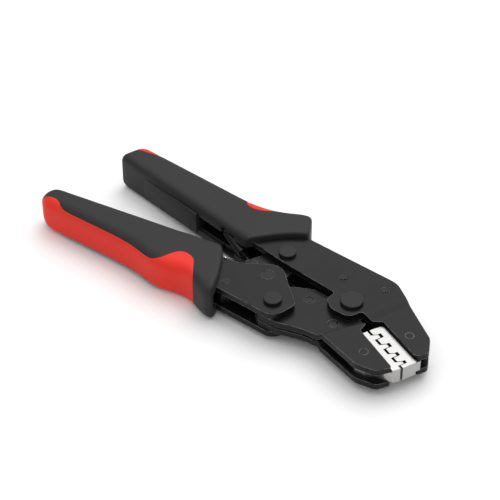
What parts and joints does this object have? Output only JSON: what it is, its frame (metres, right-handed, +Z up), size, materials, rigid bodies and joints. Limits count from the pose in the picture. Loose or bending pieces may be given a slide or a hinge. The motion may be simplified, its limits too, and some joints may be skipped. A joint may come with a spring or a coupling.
{
  "type": "ratchet crimping tool",
  "caption": "Hand crimping pliers with a ratchet toggle linkage, pinned dies with stepped nests, riveted black steel plates and soft two-colour grips.",
  "frame": {"origin": "middle of the tool's outline, on the surface that it lies on", "axes": "+X from the handles to the jaws, +Y from the moving handle to the fixed one, +Z up, along every pivot"},
  "size_m": [0.194, 0.0676, 0.0188],
  "materials": {
    "black_steel": "satin black oxide with bright worn rims",
    "rivet_steel": "satin black oxide",
    "pawl_steel": "dark hardened steel",
    "die_steel": "satin nickel plate",
    "spring_steel": "drawn wire",
    "bush_brass": "turned",
    "grip_black": "matt, fine grain",
    "grip_red": "matt, fine grain"
  },
  "bodies": {
    "frame": {"frame_plate_upper": "black_steel", "frame_plate_lower": "black_steel", "main_pivot_rivet": "rivet_steel", "link_frame_rivet": "rivet_steel", "frame_spacer_pins": "rivet_steel", "frame_tang_rivets": "rivet_steel", "spring_anchor_pin": "rivet_steel", "fixed_die": "die_steel", "fixed_die_pin": "black_steel", "fixed_grip": "grip_black", "fixed_grip_inlay": "grip_red", "return_spring": "spring_steel"},
    "jaw": {"jaw_plate_upper": "black_steel", "jaw_plate_lower": "black_steel", "jaw_spacer_pins": "rivet_steel", "jaw_bush": "bush_brass", "moving_die": "die_steel", "moving_die_pin": "black_steel"},
    "handle": {"handle_plate_upper": "black_steel", "handle_plate_lower": "black_steel", "handle_jaw_rivet": "rivet_steel", "link_handle_pin": "rivet_steel", "pawl_rivet": "rivet_steel", "handle_tang_rivets": "rivet_steel", "cross_wire": "spring_steel", "moving_grip": "grip_black", "moving_grip_inlay": "grip_red", "pawl_spring": "spring_steel"},
    "link": {"ratchet_link": "black_steel", "link_bush": "bush_brass", "link_hook_pin": "rivet_steel"},
    "pawl": {"pawl": "pawl_steel"}
  },
  "joints": [
    {"name": "handle_hinge", "type": "hinge", "parent": "jaw", "child": "handle", "pos_m": [0.02856, -0.01997, 0.0094], "axis": [0, 0, 1], "range_deg": [0, 30], "deforming": ["return_spring"]},
    {"name": "jaw_hinge", "type": "hinge", "parent": "frame", "child": "jaw", "pos_m": [0.05566, -0.00097, 0.0094], "axis": [0, 0, 1], "range_deg": [-10, 0]},
    {"name": "link_hinge", "type": "hinge", "parent": "handle", "child": "link", "pos_m": [0.01735, -0.00807, 0.0094], "axis": [0, 0, 1], "range_deg": [-43.2, 0]},
    {"name": "pawl_hinge", "type": "hinge", "parent": "handle", "child": "pawl", "pos_m": [0.00526, -0.02217, 0.0094], "axis": [0, 0, 1], "range_deg": [-12, 12], "stiffness_Nm_per_rad": 0.002, "deforming": ["pawl_spring"]}
  ],
  "couplings": [
    {"joint": "jaw_hinge", "follows": "handle_hinge", "ratio": -0.33333},
    {"joint": "link_hinge", "follows": "handle_hinge", "ratio": -1.44}
  ]
}
